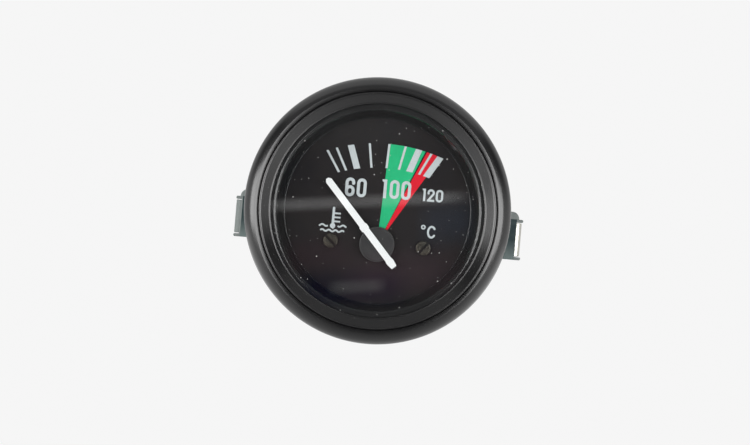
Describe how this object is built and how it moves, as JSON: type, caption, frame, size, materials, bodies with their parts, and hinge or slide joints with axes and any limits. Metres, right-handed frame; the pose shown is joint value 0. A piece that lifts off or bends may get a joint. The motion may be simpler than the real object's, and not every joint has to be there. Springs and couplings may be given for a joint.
{
  "type": "water temperature gauge",
  "caption": "Round panel gauge with a black bezel, dial with cold, normal and hot zones, swinging pointer, lamp holder, blade terminals and a U-shaped clamp bracket.",
  "frame": {"origin": "centre of the panel seat, the flat rear of the bezel's crimped rim", "axes": "+Y out of the rear of the gauge, through the panel; +Z to twelve o'clock; the dial faces -Y"},
  "size_m": [0.0662, 0.0589, 0.06],
  "materials": {
    "bezel_paint": "satin black enamel",
    "case_steel": "zinc-plated deep-drawn steel",
    "lens": "clear flat glass",
    "seal_rubber": "matt black rubber",
    "spacer_plastic": "matt black moulding",
    "dial_black": "matt black dial paint",
    "ink_white": "screen-printed white ink",
    "ink_green": "screen-printed green ink",
    "ink_red": "screen-printed red ink",
    "screw_bronze": "blackened brass",
    "brass": "turned brass",
    "steel": "bright steel",
    "magnet": "sintered magnet",
    "former_plastic": "natural nylon",
    "coil_copper": "enamelled copper wire",
    "laminate": "brown paper laminate",
    "terminal_tin": "tinned brass",
    "ceramic": "unglazed ceramic",
    "lead_lacquer": "lacquered wire",
    "zinc": "passivated zinc plate",
    "pointer_white": "matt white paint",
    "hub_plastic": "dark grey moulding",
    "bulb_metal": "drawn brass",
    "bulb_envelope": "clear bulb glass"
  },
  "bodies": {
    "gauge": {"case_can": "case_steel", "bezel_ring": "bezel_paint", "glass_lens": "lens", "lens_seal": "seal_rubber", "spacer_ring": "spacer_plastic", "dial_plate": "dial_black", "dial_print_white": "ink_white", "dial_print_green": "ink_green", "dial_print_red": "ink_red", "dial_screws": "screw_bronze", "dial_pillars": "brass", "movement_plate": "steel", "support_posts": "steel", "post_screws": "steel", "shield_can": "steel", "former_front": "former_plastic", "former_rear": "former_plastic", "coil_inner": "coil_copper", "coil_outer": "coil_copper", "upper_bearing": "brass", "lower_bearing": "brass", "return_magnet": "magnet", "end_stops": "steel", "terminal_board": "laminate", "supply_terminal": "terminal_tin", "sender_terminal": "terminal_tin", "ground_terminal": "terminal_tin", "terminal_insulators": "laminate", "terminal_rivets": "terminal_tin", "ballast_resistor": "ceramic", "coil_leads": "lead_lacquer", "bracket_studs": "zinc", "collar_nuts": "zinc"},
    "pointer": {"pointer_blade": "pointer_white", "pointer_hub": "hub_plastic", "spindle": "steel", "rotor_magnet": "magnet", "stop_arm": "steel"},
    "lamp": {"lamp_shell": "case_steel", "lamp_insulator": "laminate", "lamp_contact": "terminal_tin", "bulb_base": "bulb_metal", "bulb_glass": "bulb_envelope"},
    "bracket": {"mounting_bracket": "zinc", "spring_washers": "zinc"},
    "nut_left": {"thumb_nut_left": "zinc"},
    "nut_right": {"thumb_nut_right": "zinc"}
  },
  "joints": [
    {"name": "pointer_sweep", "type": "hinge", "parent": "gauge", "child": "pointer", "pos_m": [0.0005, 0, -0.0076], "axis": [0, 1, 0], "range_deg": [0, 77], "stiffness_Nm_per_rad": 0.00002, "springref_deg": -17.19},
    {"name": "lamp_holder_pull", "type": "slide", "parent": "gauge", "child": "lamp", "axis": [0, 1, 0], "range_m": [0, 0.028]},
    {"name": "bracket_slide", "type": "slide", "parent": "gauge", "child": "bracket", "axis": [0, 1, 0], "range_m": [-0.005, 0.004]},
    {"name": "nut_left_turn", "type": "hinge", "parent": "bracket", "child": "nut_left", "pos_m": [-0.0155, 0.0458, -0.0032], "axis": [0, 1, 0], "range_deg": [-2600, 2100]},
    {"name": "nut_right_turn", "type": "hinge", "parent": "bracket", "child": "nut_right", "pos_m": [0.0155, 0.0458, -0.0032], "axis": [0, 1, 0], "range_deg": [-2600, 2100]}
  ],
  "couplings": [
    {"joint": "nut_left_turn", "follows": "bracket_slide", "rad_per_m": 8976},
    {"joint": "nut_right_turn", "follows": "bracket_slide", "rad_per_m": 8976}
  ]
}
